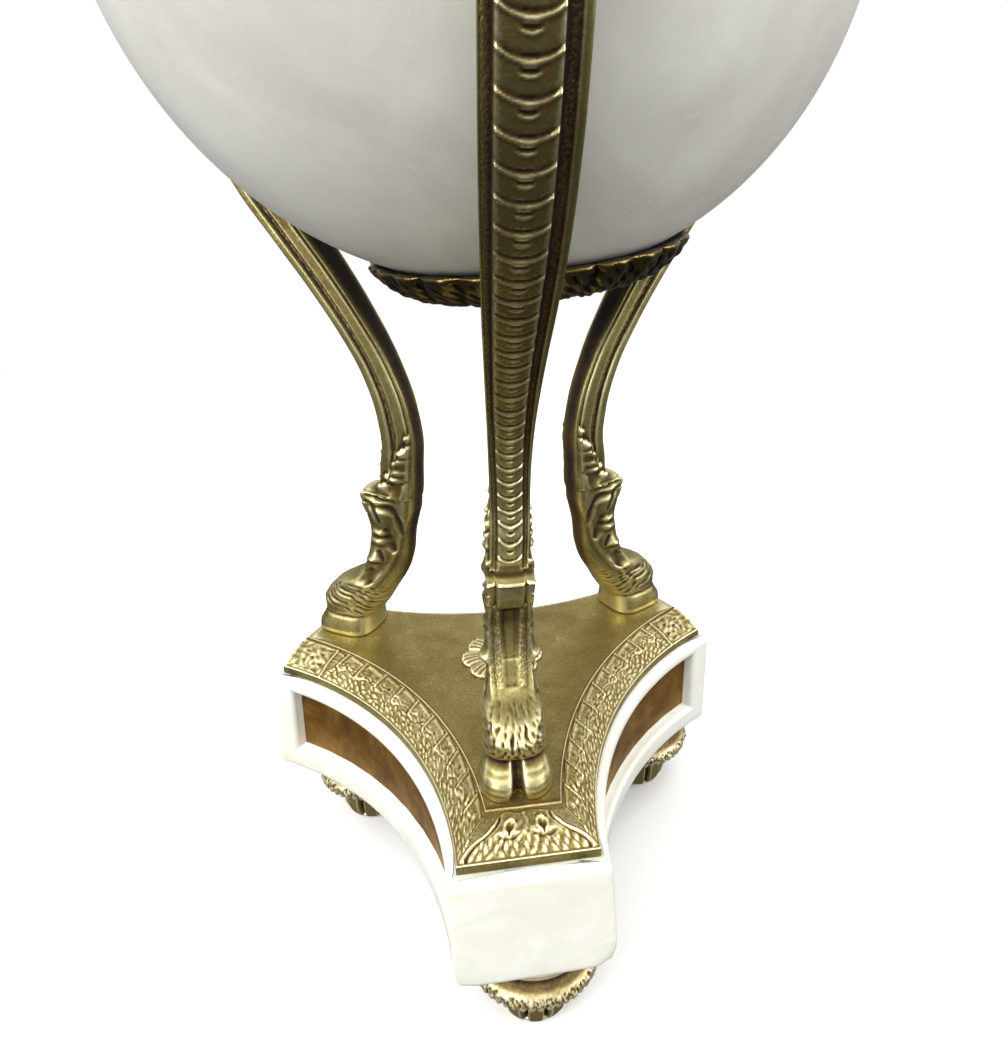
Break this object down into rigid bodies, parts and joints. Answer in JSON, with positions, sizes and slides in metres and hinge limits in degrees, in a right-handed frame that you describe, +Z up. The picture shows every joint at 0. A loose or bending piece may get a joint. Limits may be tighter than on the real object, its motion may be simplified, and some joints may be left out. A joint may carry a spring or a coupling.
{
  "type": "perfume burner",
  "caption": "Round marble bowl with a domed lid, held by slender gilt-bronze goat legs on a triangular marble plinth with concave sides and fluted feet.",
  "frame": {"origin": "on the bowl's axis at the floor, under the centre of the bounding box", "axes": "+Z up along the bowl's axis; the front leg and the friezed corner of the plinth point to -Y"},
  "size_m": [0.224, 0.224, 0.3896],
  "materials": {
    "white_marble": "polished",
    "gilt_bronze": "worn gilding",
    "dark_gilt_bronze": "darkened gilding",
    "brown_gilt_bronze": "burnished"
  },
  "bodies": {
    "root": {"marble_plinth": "white_marble", "panel_left": "brown_gilt_bronze", "panel_right": "brown_gilt_bronze", "panel_back": "brown_gilt_bronze", "base_plate": "gilt_bronze", "plate_rosette": "gilt_bronze", "foot_front": "gilt_bronze", "foot_left": "gilt_bronze", "foot_right": "gilt_bronze", "leg_front": "gilt_bronze", "leg_left": "gilt_bronze", "leg_right": "gilt_bronze", "calyx": "dark_gilt_bronze", "bowl": "white_marble", "gallery_ring": "gilt_bronze", "lid": "white_marble", "finial": "gilt_bronze"}
  },
  "joints": []
}
